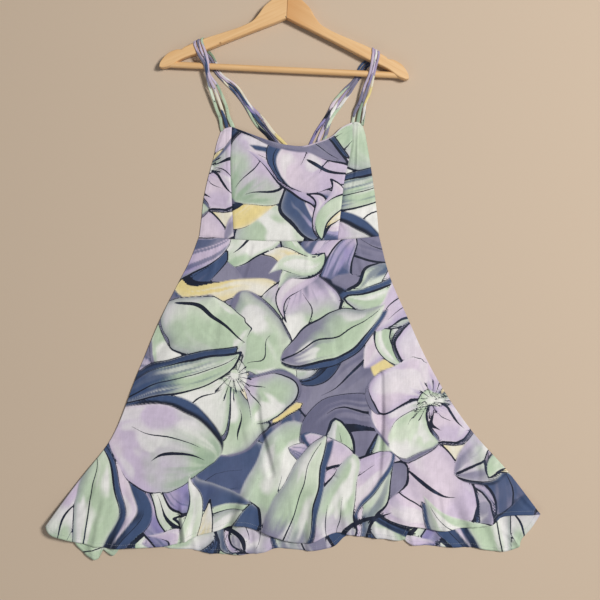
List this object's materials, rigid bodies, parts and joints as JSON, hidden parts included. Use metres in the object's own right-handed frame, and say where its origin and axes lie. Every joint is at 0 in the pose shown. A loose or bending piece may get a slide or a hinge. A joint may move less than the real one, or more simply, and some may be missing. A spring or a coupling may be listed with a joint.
{
  "type": "sundress on a wooden hanger",
  "caption": "Flared knee-length sundress with a princess-seamed bodice and spaghetti straps in a painterly floral print, laid flat on a wooden hanger with a trouser bar.",
  "frame": {"origin": "on the surface that the dress lies on, under the middle of its waist", "axes": "+X across the dress to the viewer's right, +Y up the dress towards the hanger, +Z out of the surface, towards a viewer who sees the front"},
  "size_m": [0.8838, 1.096, 0.0187],
  "materials": {
    "print_cloth": "soft matt woven cloth, large floral print in mint, lilac, slate, navy and pale yellow",
    "strap_cloth": "the same cloth sewn into narrow tubes",
    "hanger_wood": "clear satin varnish over pale wood",
    "hook_steel": "plain bright plated steel"
  },
  "bodies": {
    "root": {"skirt_front": "print_cloth", "skirt_back": "print_cloth", "bodice_front_centre": "print_cloth", "bodice_front_left": "print_cloth", "bodice_front_right": "print_cloth", "bodice_back": "print_cloth", "strap_front_left_1": "strap_cloth", "strap_front_left_2": "strap_cloth", "strap_front_left_3": "strap_cloth", "strap_front_right_1": "strap_cloth", "strap_front_right_2": "strap_cloth", "strap_front_right_3": "strap_cloth", "strap_back_left_1": "strap_cloth", "strap_back_left_2": "strap_cloth", "strap_back_left_3": "strap_cloth", "strap_back_right_1": "strap_cloth", "strap_back_right_2": "strap_cloth", "strap_back_right_3": "strap_cloth", "hanger_arm_left": "hanger_wood", "hanger_arm_right": "hanger_wood", "hanger_bar": "hanger_wood", "hanger_hook": "hook_steel"}
  },
  "joints": []
}
